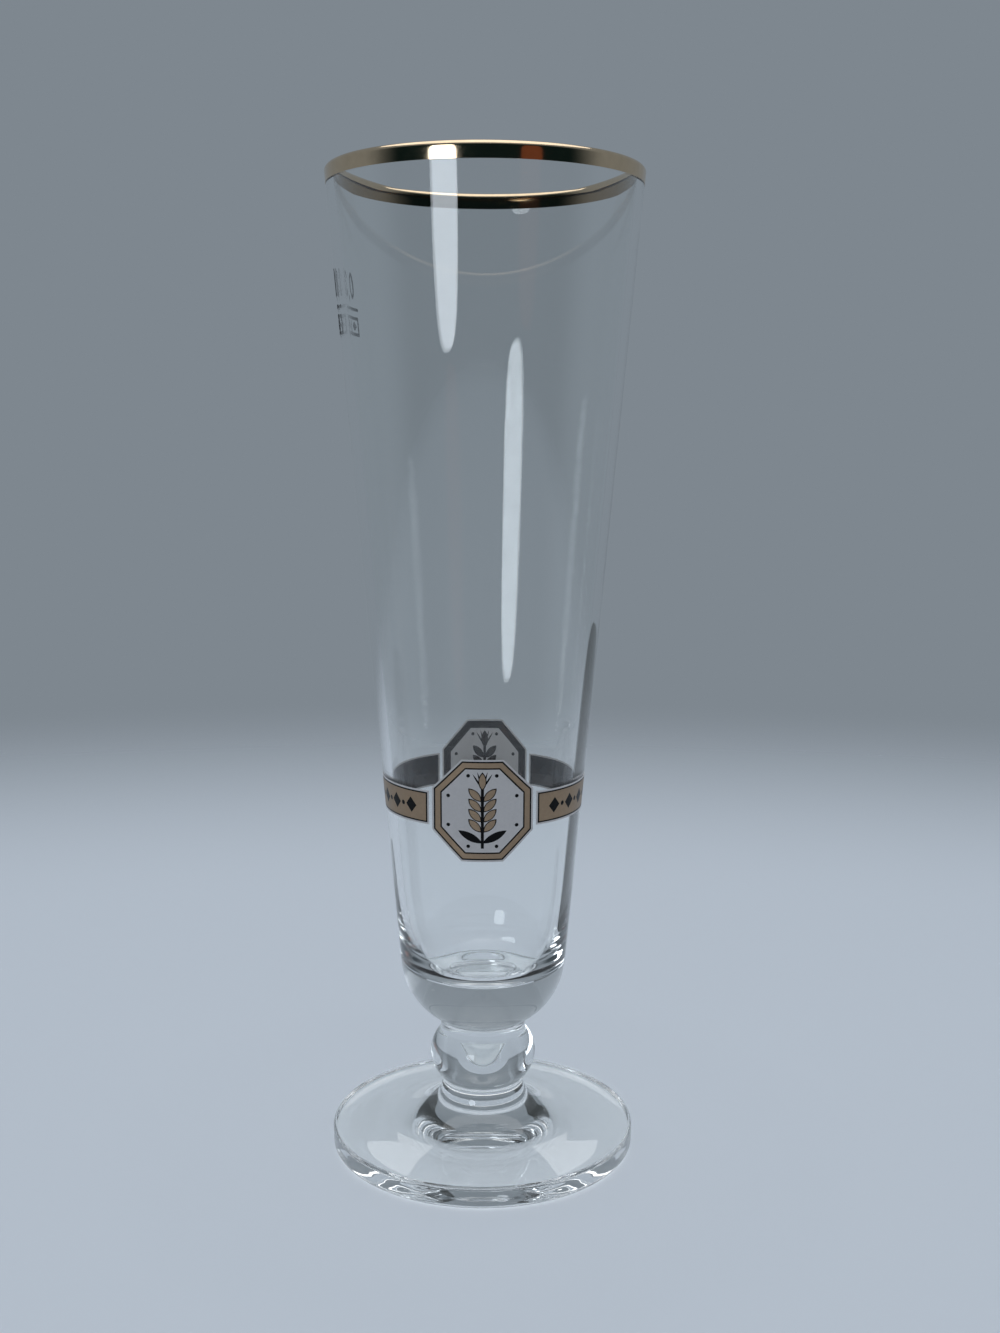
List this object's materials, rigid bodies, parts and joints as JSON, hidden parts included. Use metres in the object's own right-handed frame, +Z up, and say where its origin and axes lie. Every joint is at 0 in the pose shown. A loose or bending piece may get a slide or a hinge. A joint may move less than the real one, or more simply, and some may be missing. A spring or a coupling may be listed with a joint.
{
  "type": "pilsner glass",
  "caption": "Tall conical clear beer glass on a rounded knop and disc foot, with a gilded rim and a gold, white and black printed badge and band round its lower wall.",
  "frame": {"origin": "middle of the foot's underside, on the surface it stands on", "axes": "+Z up along the glass's axis, -Y towards the front badge, +X to the viewer's right"},
  "size_m": [0.0734, 0.0734, 0.2311],
  "materials": {
    "clear_glass": "polished clear",
    "bright_gold": "bright fired gold",
    "print_white": "fired enamel",
    "print_gold": "satin fired gold",
    "print_black": "fired enamel",
    "mark_grey": "fired enamel"
  },
  "bodies": {
    "root": {"bowl": "clear_glass", "stem_knop": "clear_glass", "foot": "clear_glass", "rim_gilding": "bright_gold", "capacity_figures": "mark_grey", "fill_line": "mark_grey", "gauge_stamp": "mark_grey", "front_badge_white": "print_white", "front_badge_gold": "print_gold", "front_badge_black": "print_black", "rear_badge_white": "print_white", "rear_badge_gold": "print_gold", "rear_badge_black": "print_black", "left_band_white": "print_white", "left_band_gold": "print_gold", "left_band_black": "print_black", "right_band_white": "print_white", "right_band_gold": "print_gold", "right_band_black": "print_black"}
  },
  "joints": []
}
